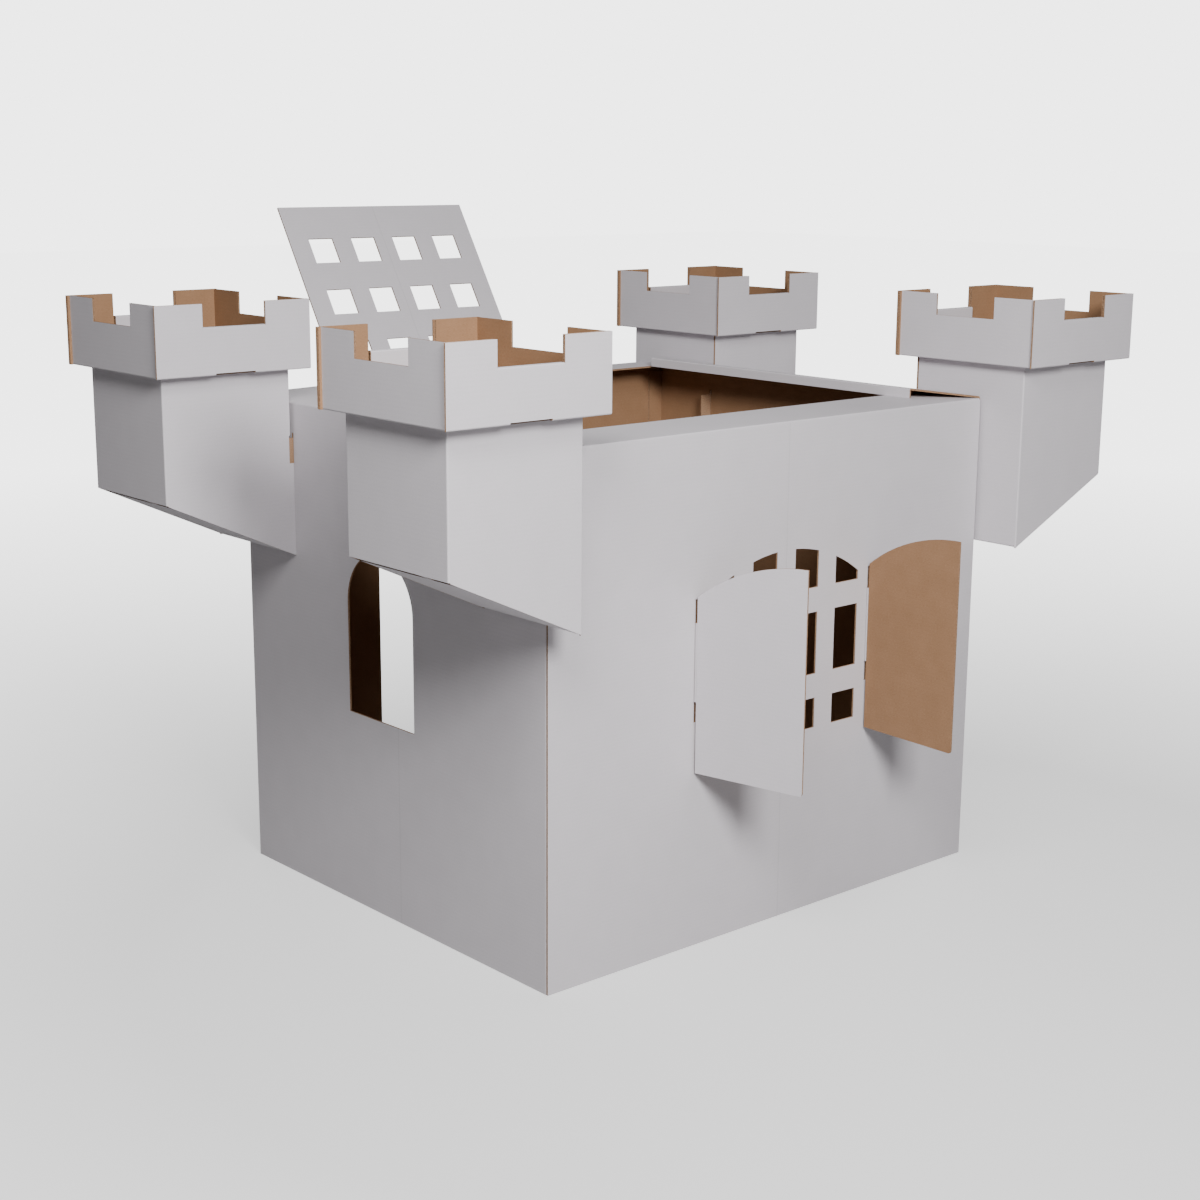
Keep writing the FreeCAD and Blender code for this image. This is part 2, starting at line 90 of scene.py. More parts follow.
# Finishes
class Shader:
    """A material's node tree, with short calls to add and join its nodes."""

    def __init__(self, name: str) -> None:
        """Start an empty node material with a principled shader.

        Args:
            name: the material's name.
        """
        self.material = bpy.data.materials.new(name)
        self.material.use_nodes = True
        self.tree = self.material.node_tree
        self.tree.nodes.clear()
        self.output = self.tree.nodes.new("ShaderNodeOutputMaterial")
        self.body = self.node("ShaderNodeBsdfPrincipled")
        self.link(self.body.outputs["BSDF"], self.output.inputs["Surface"])

    def node(self, kind: str, **settings: object) -> bpy.types.Node:
        """Add a node and set its properties.

        Args:
            kind: the node's Blender type.
            settings: its properties, by name.

        Returns:
            The node.
        """
        made = self.tree.nodes.new(kind)
        for key, value in settings.items():
            setattr(made, key, value)
        return made

    def link(self, source: bpy.types.NodeSocket, target: bpy.types.NodeSocket) -> None:
        """Join two sockets."""
        self.tree.links.new(source, target)

    def feed(self, made: bpy.types.Node, **values: object) -> bpy.types.Node:
        """Set or join a node's inputs.

        Args:
            made: the node.
            values: values or sockets. An input is named by its label, with spaces as underscores,
                or by an underscore and its number.

        Returns:
            The node.
        """
        for key, value in values.items():
            label = int(key[1:]) if key[1:].isdigit() else key.replace("_", " ")
            socket = made.inputs[label]
            if isinstance(value, bpy.types.NodeSocket):
                self.link(value, socket)
            else:
                socket.default_value = value
        return made

    def uv(self, name: str, scale: Sequence[float] = (1, 1, 1)) -> bpy.types.NodeSocket:
        """Return a UV map's coordinates, scaled.

        Args:
            name: the UV map's name.
            scale: how much each coordinate is multiplied by.

        Returns:
            The coordinates' socket.
        """
        source = self.node("ShaderNodeUVMap", uv_map=name).outputs["UV"]
        mapping = self.feed(self.node("ShaderNodeMapping"), Vector=source, Scale=tuple(scale))
        return mapping.outputs["Vector"]

    def place(self) -> bpy.types.NodeSocket:
        """Return the piece's object coordinates."""
        return self.node("ShaderNodeTexCoord").outputs["Object"]

    def noise(self, where: bpy.types.NodeSocket, scale: float, detail: float) -> bpy.types.NodeSocket:
        """Return a noise value from 0 to 1."""
        made = self.feed(self.node("ShaderNodeTexNoise"), Vector=where, Scale=scale, Detail=detail)
        return made.outputs["Fac"]

    def bands(self, where: bpy.types.NodeSocket, pitch: float) -> bpy.types.NodeSocket:
        """Return sine bands across the second coordinate.

        Args:
            where: the coordinates, in metres.
            pitch: the distance from one band to the next.

        Returns:
            The bands' value, from 0 to 1.
        """
        made = self.node("ShaderNodeTexWave", wave_type="BANDS", bands_direction="Y", wave_profile="SIN")
        self.feed(made, Vector=where, Scale=math.tau / WAVE_NODE_TURN / pitch, Distortion=0.0)
        return made.outputs["Fac"]

    def span(self, value: bpy.types.NodeSocket, source: tuple[float, float],
             target: tuple[float, float]) -> bpy.types.NodeSocket:
        """Return a value carried from one range to another and held inside it.

        Args:
            value: the value.
            source: the range that it comes from.
            target: the range that it goes to.

        Returns:
            The new value.
        """
        made = self.feed(self.node("ShaderNodeMapRange"), Value=value, From_Min=source[0],
                         From_Max=source[1], To_Min=target[0], To_Max=target[1])
        return made.outputs["Result"]

    def sum(self, first: bpy.types.NodeSocket, second: bpy.types.NodeSocket,
            how: str = "ADD") -> bpy.types.NodeSocket:
        """Return two values joined by an operation."""
        return self.feed(self.node("ShaderNodeMath", operation=how), _0=first, _1=second).outputs[0]

    def blend(self, amount: bpy.types.NodeSocket, low: Sequence[float],
              high: Sequence[float]) -> bpy.types.NodeSocket:
        """Return a colour between two colours.

        Args:
            amount: 0 for the first colour to 1 for the second.
            low: the first colour.
            high: the second colour.

        Returns:
            The mixed colour.
        """
        made = self.node("ShaderNodeMix", data_type="RGBA")
        self.feed(made, _0=amount, _6=(*low, 1), _7=(*high, 1))
        return made.outputs[2]

    def tint(self, colour: bpy.types.NodeSocket, amount: bpy.types.NodeSocket) -> bpy.types.NodeSocket:
        """Return a colour multiplied by a grey value.

        Args:
            colour: the colour.
            amount: the grey value.

        Returns:
            The shaded colour.
        """
        made = self.node("ShaderNodeVectorMath", operation="SCALE")
        self.feed(made, _0=colour, Scale=amount)
        return made.outputs[0]

    def bump(self, height: bpy.types.NodeSocket, depth: float) -> None:
        """Join a height from 0 to 1 to the shader's normal, depth metres deep."""
        made = self.feed(self.node("ShaderNodeBump"), Height=height, Distance=depth, Strength=1.0)
        self.link(made.outputs["Normal"], self.body.inputs["Normal"])


@dataclass(frozen=True)
class WhiteLiner:
    """The white clay coat: mottled, with painted shade in faint lines along the flutes and in the pressed
    scores, which are bumped as well.
    """

    low: tuple = (0.575, 0.545, 0.572)
    high: tuple = (0.645, 0.61, 0.64)
    fine_scale: float = 1500
    grain_scale: float = 420
    broad_scale: float = 22
    flute_shade: float = 0.985
    score_shade: float = 0.9
    score_half: float = 1.6 * MM
    relief: float = 0.06 * MM
    roughness: tuple = (0.57, 0.67)
    specular: float = 0.35

    def material(self) -> bpy.types.Material:
        """Mix fine, middle and broad noise, paint shade along the flutes and the score, and press both into
        the bump.

        Returns:
            The node material.
        """
        s = Shader("white_liner")
        where = s.uv("board")
        fine = s.noise(where, self.fine_scale, 3)
        broad = s.noise(where, self.broad_scale, 4)
        lines = s.bands(where, BOARD.pitch)
        grain = s.noise(where, self.grain_scale, 2)
        speck = s.sum(s.span(fine, NOISE_RANGE, (0, 0.35)), s.span(broad, NOISE_RANGE, (0, 0.25)))
        speck = s.sum(speck, s.span(grain, NOISE_RANGE, (0, 0.4)))
        colour = s.blend(speck, self.low, self.high)
        # painted shade: the colour is darkened in faint lines along the flutes and in a line at the pressed
        # score
        washboard = s.span(lines, (0, 1), (self.flute_shade, 1.0))
        across = s.feed(s.node("ShaderNodeSeparateXYZ"), Vector=s.uv("score")).outputs["X"]
        away = s.feed(s.node("ShaderNodeMath", operation="ABSOLUTE"), _0=across).outputs[0]
        score = s.span(away, (0.0, self.score_half), (self.score_shade, 1.0))
        s.link(s.tint(colour, s.sum(washboard, score, "MULTIPLY")), s.body.inputs["Base Color"])
        s.link(s.span(fine, NOISE_RANGE, self.roughness), s.body.inputs["Roughness"])
        relief = s.sum(s.span(fine, (0.2, 0.8), (0, 0.3)), s.span(lines, (0, 1), (0, 0.35)))
        pressed = s.span(score, (self.score_shade, 1.0), (-3.0, 0.3))
        s.bump(s.sum(relief, pressed), self.relief)
        s.body.inputs["Specular IOR Level"].default_value = self.specular
        return s.material


@dataclass(frozen=True)
class KraftLiner:
    """The brown inner liner: long fibres, dark flecks and faint flute lines of painted shade."""

    low: tuple = (0.255, 0.14, 0.072)
    high: tuple = (0.355, 0.203, 0.112)
    fleck: tuple = (0.15, 0.075, 0.035)
    fibre_scale: tuple = (260, 1500, 1)
    fleck_scale: tuple = (420, 700, 1)
    broad_scale: float = 30
    flute_shade: float = 0.978
    relief: float = 0.08 * MM
    roughness: float = 0.82
    specular: float = 0.25

    def material(self) -> bpy.types.Material:
        """Stretch noise into fibres along the flutes, and scatter flecks over it.

        Returns:
            The node material.
        """
        s = Shader("kraft_liner")
        fibres = s.noise(s.uv("board", self.fibre_scale), 1, 4)
        broad = s.noise(s.uv("board"), self.broad_scale, 4)
        lines = s.bands(s.uv("board"), BOARD.pitch)
        tone = s.sum(s.span(fibres, NOISE_RANGE, (0, 0.75)), s.span(broad, NOISE_RANGE, (0, 0.25)))
        # painted shade: the colour is darkened in faint lines along the flutes
        washboard = s.span(lines, (0, 1), (self.flute_shade, 1.0))
        colour = s.tint(s.blend(tone, self.low, self.high), washboard)
        spots = s.span(s.noise(s.uv("board", self.fleck_scale), 1, 2), (0.68, 0.76), (0, 0.5))
        mix = s.node("ShaderNodeMix", data_type="RGBA")
        s.feed(mix, _0=spots, _6=colour, _7=(*self.fleck, 1))
        s.link(mix.outputs[2], s.body.inputs["Base Color"])
        s.body.inputs["Roughness"].default_value = self.roughness
        relief = s.sum(s.span(fibres, (0.2, 0.8), (0, 0.5)), s.span(lines, (0, 1), (0, 0.25)))
        s.bump(relief, self.relief)
        s.body.inputs["Specular IOR Level"].default_value = self.specular
        return s.material


@dataclass(frozen=True)
class CutBoard:
    """The brown of cut liners and flutes."""

    low: tuple = (0.2, 0.11, 0.06)
    high: tuple = (0.5, 0.32, 0.2)
    grain_scale: float = 900
    relief: float = 0.1 * MM
    roughness: float = 0.9
    specular: float = 0.2

    def material(self) -> bpy.types.Material:
        """Colour the cut by fine noise.

        Returns:
            The node material.
        """
        s = Shader("cut_board")
        grain = s.noise(s.place(), self.grain_scale, 4)
        colour = s.blend(s.span(grain, NOISE_RANGE, (0, 1)), self.low, self.high)
        s.link(colour, s.body.inputs["Base Color"])
        s.body.inputs["Roughness"].default_value = self.roughness
        s.bump(grain, self.relief)
        s.body.inputs["Specular IOR Level"].default_value = self.specular
        return s.material


@dataclass(frozen=True)
class PaleFloor:
    """A plain matt studio floor that glows towards its rim, so that it meets the white beyond."""

    colour: tuple = (0.45, 0.45, 0.45)
    rim: tuple = (1.0, 5.0)
    glow: tuple = (0.8, 3.8)

    def material(self) -> bpy.types.Material:
        """Light the floor up for the eye alone, by its distance from the middle.

        Returns:
            The node material.
        """
        s = Shader("studio_floor")
        s.body.inputs["Base Color"].default_value = (*self.colour, 1)
        s.body.inputs["Roughness"].default_value = 0.9
        s.body.inputs["Specular IOR Level"].default_value = 0.1
        s.body.inputs["Emission Color"].default_value = (1, 1, 1, 1)
        reach = s.node("ShaderNodeVectorMath", operation="LENGTH")
        s.link(s.place(), reach.inputs[0])
        seen = s.node("ShaderNodeLightPath").outputs["Is Camera Ray"]
        glow = s.span(reach.outputs["Value"], self.rim, self.glow)
        s.link(s.sum(glow, seen, "MULTIPLY"), s.body.inputs["Emission Strength"])
        return s.material


# Shapes
def unit(vector: Sequence[float]) -> np.ndarray:
    """Return a vector made one long."""
    array = np.asarray(vector, float)
    return array / np.linalg.norm(array)


def turn(axis: np.ndarray, degrees: float) -> np.ndarray:
    """Return the rotation about an axis by an angle, as a 3 by 3 matrix."""
    return np.array(Matrix.Rotation(math.radians(degrees), 3, Vector(axis)))


def rectangle(a0: float, a1: float, b0: float, b1: float) -> list[tuple[float, float]]:
    """Return the corners of a rectangle, anticlockwise."""
    return [(a0, b0), (a1, b0), (a1, b1), (a0, b1)]


def arc(centre: tuple[float, float], radius: float, start: float, end: float,
        steps: int) -> list[tuple[float, float]]:
    """Work out an arc: the centre plus the radius times the cosine and sine of even angles.

    Args:
        centre: the arc's centre.
        radius: its radius.
        start: its first angle, in degrees.
        end: its last angle.
        steps: how many straight pieces it has.

    Returns:
        Its points.
    """
    angle = np.radians(np.linspace(start, end, steps + 1))
    points = np.column_stack([centre[0] + radius * np.cos(angle), centre[1] + radius * np.sin(angle)])
    return [tuple(point) for point in points]


def offset(loop: np.ndarray, inset: np.ndarray) -> np.ndarray:
    """Move each edge of a closed loop towards the material by its own inset.

    A corner's new place q solves (q - p) . n = -inset for the outward normals n of its two edges.
    Where the two edges run on in line, the corner moves straight along their mean normal.

    Args:
        loop: the loop's corners.
        inset: how far each edge moves.

    Returns:
        The moved corners.
    """
    along = np.roll(loop, -1, axis=0) - loop
    along /= np.linalg.norm(along, axis=1)[:, None]
    after = np.column_stack([along[:, 1], -along[:, 0]])
    before = np.roll(after, 1, axis=0)
    d_after, d_before = inset, np.roll(inset, 1)
    det = before[:, 0] * after[:, 1] - before[:, 1] * after[:, 0]
    in_line = np.abs(det) < IN_LINE
    safe = np.where(in_line, 1.0, det)
    moved = np.column_stack([
        (-d_before * after[:, 1] + d_after * before[:, 1]) / safe,
        (-d_after * before[:, 0] + d_before * after[:, 0]) / safe])
    mean = -(before + after) / 2 * ((d_before + d_after) / 2)[:, None]
    return loop + np.where(in_line[:, None], mean, moved)


def wound(loop: Sequence[tuple[float, float]], left: bool) -> tuple[np.ndarray, bool]:
    """Wind a loop the wanted way round; the sign of its area says how it is wound.

    Args:
        loop: the loop's corners.
        left: True for anticlockwise, False for clockwise.

    Returns:
        The corners in order, and whether they were reversed.
    """
    points = np.asarray(loop, float)
    following = np.roll(points, -1, axis=0)
    area = np.sum(points[:, 0] * following[:, 1] - following[:, 0] * points[:, 1])
    if (area > 0) == left:
        return points, False
    return points[::-1], True


@dataclass
class Panel:
    """One flat panel: an outline with holes, drawn on its white face.

    The white face looks along the cross product of across and up. folds are the outline's edges
    that run on into a fold, flute is the way that the flutes run, in (across, up), and score is
    where a crease is pressed up the panel.
    """

    origin: np.ndarray
    across: np.ndarray
    up: np.ndarray
    outline: Sequence[tuple[float, float]]
    folds: Sequence[int] = ()
    holes: Sequence[Sequence[tuple[float, float]]] = ()
    flute: tuple[float, float] = (1, 0)
    score: float | None = None


@dataclass
class Sheet:
    """A folded sheet of board that gathers panels, folds and flutes into one mesh."""

    name: str
    verts: list = field(default_factory=list)
    faces: list = field(default_factory=list)
    kinds: list = field(default_factory=list)
    board_uv: list = field(default_factory=list)
    score_uv: list = field(default_factory=list)
    count: int = 0

    def add(self, points: np.ndarray, faces: Sequence[Sequence[int]], kinds: Sequence[Face],
            uv: np.ndarray, score: np.ndarray | None = None) -> None:
        """Take in one closed shell.

        Args:
            points: its vertices.
            faces: its faces, as vertex numbers within the shell.
            kinds: the finish of each face.
            uv: each vertex's place along and across the flutes.
            score: each vertex's distance from the panel's pressed score, if it has one.
        """
        self.verts.append(points)
        self.faces.extend([[index + self.count for index in face] for face in faces])
        self.kinds.extend(kind.value for kind in kinds)
        self.board_uv.append(uv)
        self.score_uv.append(np.full(len(points), 1.0) if score is None else score)
        self.count += len(points)

    def panel(self, panel: Panel) -> None:
        """Add a panel as closed board: two liners whose cut edges stand proud of the core.

        The outline is repeated at six depths through the board, moved in by the recess at the
        two middle ones, and neighbouring loops are joined by quads.

        Args:
            panel: the panel.
        """
        board = BOARD
        normal = np.cross(panel.across, panel.up)
        outline, reversed_loop = wound(panel.outline, True)
        size = len(outline)
        folds = {(size - 2 - f) % size for f in panel.folds} if reversed_loop else set(panel.folds)
        loops = [outline] + [wound(hole, False)[0] for hole in panel.holes]
        raws = [np.array([index not in folds for index in range(size)], float)]
        raws += [np.ones(len(hole)) for hole in loops[1:]]
        depths = (0, board.lip, board.lip, board.thick - board.lip, board.thick - board.lip, board.thick)
        insets = (0, 0, board.recess, board.recess, 0, 0)
        flat, deep = [], []
        for depth, inset in zip(depths, insets):
            flat += [offset(loop, raw * inset) for loop, raw in zip(loops, raws)]
            deep.append(np.full(sum(len(loop) for loop in loops), depth))
        flat, deep = np.vstack(flat), np.concatenate(deep)
        points = (panel.origin + flat[:, :1] * panel.across + flat[:, 1:] * panel.up
                  - deep[:, None] * normal)
        total = sum(len(loop) for loop in loops)
        faces, kinds = [], []
        triangles = tessellate_polygon([[Vector((a, b, 0)) for a, b in loop] for loop in loops])
        for tri in triangles:
            p = flat[list(tri)]
            area = np.cross(p[1] - p[0], p[2] - p[0])
            tri = list(tri) if area > 0 else list(tri)[::-1]
            faces += [tri, [index + 5 * total for index in tri[::-1]]]
            kinds += [Face.WHITE, Face.KRAFT]
        start = 0
        for loop in loops:
            here = start + np.arange(len(loop))
            following = start + (np.arange(len(loop)) + 1) % len(loop)
            for level in range(5):
                low, high = level * total, (level + 1) * total
                quads = np.column_stack([here + low, here + high, following + high, following + low])
                faces += quads.tolist()
                kinds += [Face.CUT] * len(loop)
            start += len(loop)
        keys, first, back = np.unique(np.round(points, 7), axis=0, return_index=True, return_inverse=True)
        back = back.ravel()
        kept = [(list(dict.fromkeys(back[face])), kind) for face, kind in zip(faces, kinds)]
        kept = [(face, kind) for face, kind in kept if len(face) > 2]
        flute = unit(panel.flute)
        across_flute = np.array([-flute[1], flute[0]])
        uv = np.column_stack([flat[first] @ flute, flat[first] @ across_flute])
        score = None if panel.score is None else flat[first][:, 0] - panel.score
        self.add(points[first], [face for face, _ in kept], [kind for _, kind in kept], uv, score)
        for loop, raw in zip(loops, raws):
            self.flutes(panel, loop, raw, across_flute)

    def flutes(self, panel: Panel, loop: np.ndarray, raw: np.ndarray, across: np.ndarray) -> None:
        """Add the fluted core where raw edges cut across it.

        The core's middle lies at half the board plus an amplitude times the sine of the distance
        across the flutes over the pitch. The ribbon's profile, a small rectangle, is carried
        along each edge.

        Args:
            panel: the panel.
            loop: the corners of its outline, or of one of its holes.
            raw: 1 for each raw edge of the loop, 0 for each folded one.
            across: the way across the flutes, in the panel's plane.
        """
        board = BOARD
        normal = np.cross(panel.across, panel.up)
        swing = board.thick / 2 - board.lip - board.web / 2
        for start, end, is_raw in zip(loop, np.roll(loop, -1, axis=0), raw):
            length = np.linalg.norm(end - start)
            along = (end - start) / length
            waves = abs(along @ across) * length / board.pitch
            shows_flutes = abs(along @ across) > board.least_crossing
            if not is_raw or not shows_flutes or length < board.least_edge:
                continue
            steps = max(2, int(math.ceil(waves * board.wave_steps)) + 1)
            s = np.linspace(board.proud, length - board.proud, steps)
            line = start + s[:, None] * along
            inward = -np.array([along[1], -along[0]])
            middle = board.thick / 2 + swing * np.sin(math.tau * (line @ across) / board.pitch)
            rim, root = line + board.proud * inward, line + board.recess * inward
            rings = []
            for place, shift in ((rim, 0.5), (rim, -0.5), (root, -0.5), (root, 0.5)):
                depth = middle + shift * board.web
                rings.append(panel.origin + place[:, :1] * panel.across + place[:, 1:] * panel.up
                             - depth[:, None] * normal)
            points = np.stack(rings, axis=1).reshape(-1, 3)
            ring = np.arange(steps - 1)[:, None] * 4
            side = np.arange(4)
            quads = np.stack([ring + side, ring + (side + 1) % 4, ring + 4 + (side + 1) % 4,
                              ring + 4 + side], axis=2).reshape(-1, 4)
            caps = [[3, 2, 1, 0], [4 * steps - 4, 4 * steps - 3, 4 * steps - 2, 4 * steps - 1]]
            volume = np.dot(np.cross(points[1] - points[0], points[2] - points[1]), points[4] - points[0])
            faces = quads.tolist() + caps
            if volume < 0:
                faces = [face[::-1] for face in faces]
            uv = np.repeat(line, 4, axis=0)
            self.add(points, faces, [Face.CUT] * len(faces), uv)

    def prism(self, profile: np.ndarray, sweep: np.ndarray, kinds: Sequence[Face]) -> None:
        """Add a convex profile carried straight along a line.

        Args:
            profile: its corners in space, in order.
            sweep: the line's vector.
            kinds: the finish of the side that starts at each corner.
        """
        count = len(profile)
        points = np.vstack([profile, profile + sweep])
        here = np.arange(count)
        following = (here + 1) % count
        quads = np.column_stack([here, following, following + count, here + count]).tolist()
        caps = [list(range(count))[::-1], list(range(count, 2 * count))]
        centre = points.mean(axis=0)
        first = points[quads[0]]
        outward = np.dot(np.cross(first[1] - first[0], first[2] - first[1]), first.mean(axis=0) - centre)
        faces = quads + caps if outward > 0 else [face[::-1] for face in quads + caps]
        girth = np.concatenate([[0], np.cumsum(np.linalg.norm(np.diff(profile, axis=0), axis=1))])
        uv = np.column_stack([np.repeat([0, np.linalg.norm(sweep)], count), np.tile(girth, 2)])
        self.add(points, faces, [*kinds, Face.CUT, Face.CUT], uv)

    def fold(self, corner: Sequence[float], sweep: Sequence[float], first: np.ndarray,
             second: np.ndarray) -> None:
        """Add the rounded fold between two panels.

        The section starts where each panel ends, at thick / tan(angle / 2) from the corner where
        their white faces would meet, and its white side is an arc touching both.

        Args:
            corner: the start of the line where the two white faces would meet.
            sweep: that line's vector.
            first: the way from the corner into the first panel.
            second: the way from the corner into the second panel.
        """
        board = BOARD
        angle = math.acos(float(np.clip(np.dot(first, second), -1, 1)))
        setback = fold_setback(first, second)
        inner = board.thick / math.sin(angle)
        touch = board.fold_radius / math.tan(angle / 2)
        middle = (first + second) * board.fold_radius / math.sin(angle)
        start, end = first * touch - middle, second * touch - middle
        part = np.linspace(0, 1, board.fold_steps + 1)[:, None]
        sweep_angle = math.pi - angle
        curve = (np.sin((1 - part) * sweep_angle) * start + np.sin(part * sweep_angle) * end) \
            / math.sin(sweep_angle) + middle
        profile = np.vstack([first * setback, curve, second * setback, (first + second) * inner])
        kinds = [Face.WHITE] * (board.fold_steps + 2) + [Face.KRAFT, Face.KRAFT]
        self.prism(np.asarray(corner) + profile, np.asarray(sweep, float), kinds)

    def made(self, body: str, matrix: np.ndarray, finishes: Sequence[bpy.types.Material],
             *nodes: str) -> bpy.types.Object:
        """Make the mesh, place it, and hang it on its body in place of its CAD nodes.

        Args:
            body: the moving body that it rides on.
            matrix: the 4 by 4 placement, written into the vertices.
            finishes: the white, kraft and cut materials.
            nodes: the CAD nodes that it stands for.

        Returns:
            The new object.
        """
        points = np.vstack(self.verts) @ matrix[:3, :3].T + matrix[:3, 3]
        mesh = bpy.data.meshes.new(self.name)
        mesh.from_pydata(points.tolist(), [], self.faces)
        mesh.polygons.foreach_set("material_index", np.array(self.kinds, np.int32))
        corners = np.zeros(len(mesh.loops), np.int32)
        mesh.loops.foreach_get("vertex_index", corners)
        board = np.vstack(self.board_uv)[corners]
        score = np.concatenate(self.score_uv)[corners]
        mesh.uv_layers.new(name="board").data.foreach_set("uv", board.astype(np.float32).ravel())
        flat = np.column_stack([score, np.zeros(len(score))])
        mesh.uv_layers.new(name="score").data.foreach_set("uv", flat.astype(np.float32).ravel())
        for finish in finishes:
            mesh.materials.append(finish)
        mesh.update()
        piece = bpy.data.objects.new(self.name, mesh)
        bpy.context.scene.collection.objects.link(piece)
        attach(piece, body)
        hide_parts(*nodes)
        log.info("%s: %d faces on %s", self.name, len(mesh.polygons), body)
        return piece


def fold_setback(first: np.ndarray, second: np.ndarray) -> float:
    """Return how far from a fold's corner each of its panels starts."""
    angle = math.acos(float(np.clip(np.dot(first, second), -1, 1)))
    return BOARD.thick / math.tan(angle / 2)


def placement(turned: np.ndarray | None = None, at: Sequence[float] = (0, 0, 0)) -> np.ndarray:
    """Join a rotation and a position into a placement.

    Args:
        turned: the 3 by 3 rotation, or None for no turn.
        at: the position.

    Returns:
        The 4 by 4 placement.
    """
    matrix = np.eye(4)
    if turned is not None:
        matrix[:3, :3] = turned
    matrix[:3, 3] = at
    return matrix


